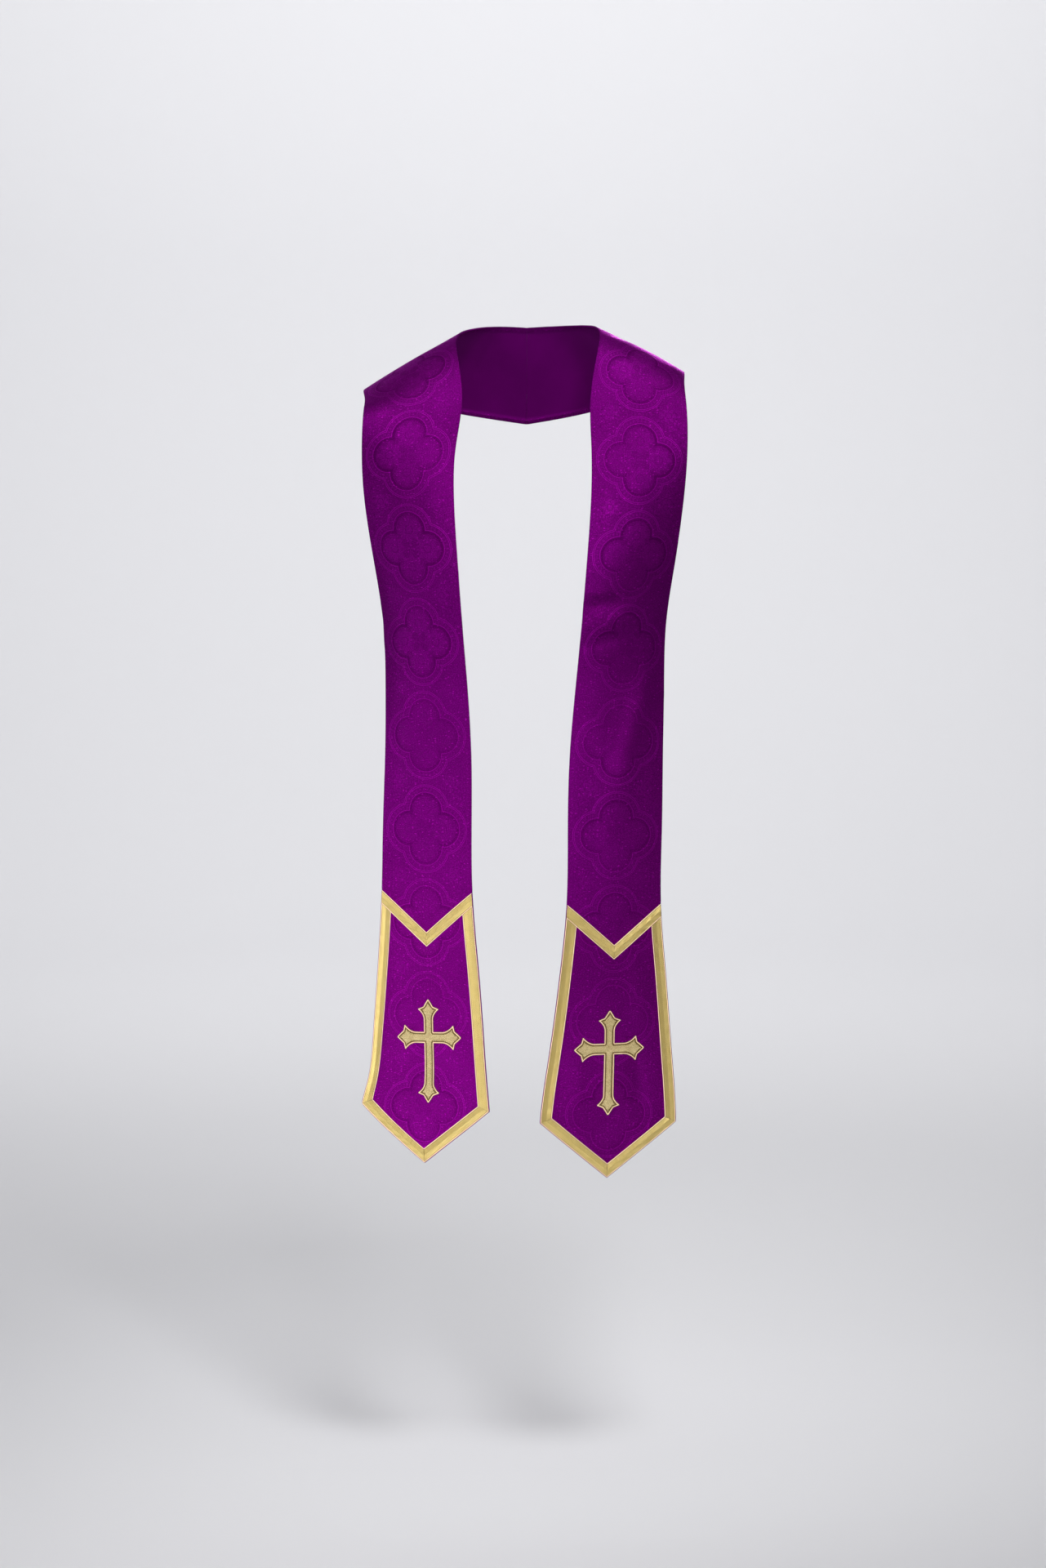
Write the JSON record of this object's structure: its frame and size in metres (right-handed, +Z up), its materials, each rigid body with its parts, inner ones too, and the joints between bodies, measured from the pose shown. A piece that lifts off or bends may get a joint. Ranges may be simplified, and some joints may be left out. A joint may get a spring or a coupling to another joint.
{
  "type": "clerical stole",
  "caption": "Purple damask clerical stole hanging as worn, joined at the nape, with pointed ends edged in gold braid and an embroidered gold cross on each end.",
  "frame": {"origin": "middle of the back neck edge, where the nape seam starts and the stole rests on the wearer's neck", "axes": "+Z up, the wearer faces -Y, +X to the wearer's left"},
  "size_m": [0.4212, 0.257, 1.1012],
  "materials": {
    "damask": "satin",
    "braid": "satin",
    "embroidery": "satin"
  },
  "bodies": {
    "root": {"stole_right": "damask", "stole_left": "damask", "braid_right_chevron_in": "braid", "braid_right_chevron_out": "braid", "braid_right_side_in": "braid", "braid_right_side_out": "braid", "braid_right_point_in": "braid", "braid_right_point_out": "braid", "braid_left_chevron_in": "braid", "braid_left_chevron_out": "braid", "braid_left_side_in": "braid", "braid_left_side_out": "braid", "braid_left_point_in": "braid", "braid_left_point_out": "braid", "cross_right": "embroidery", "cross_left": "embroidery"}
  },
  "joints": []
}
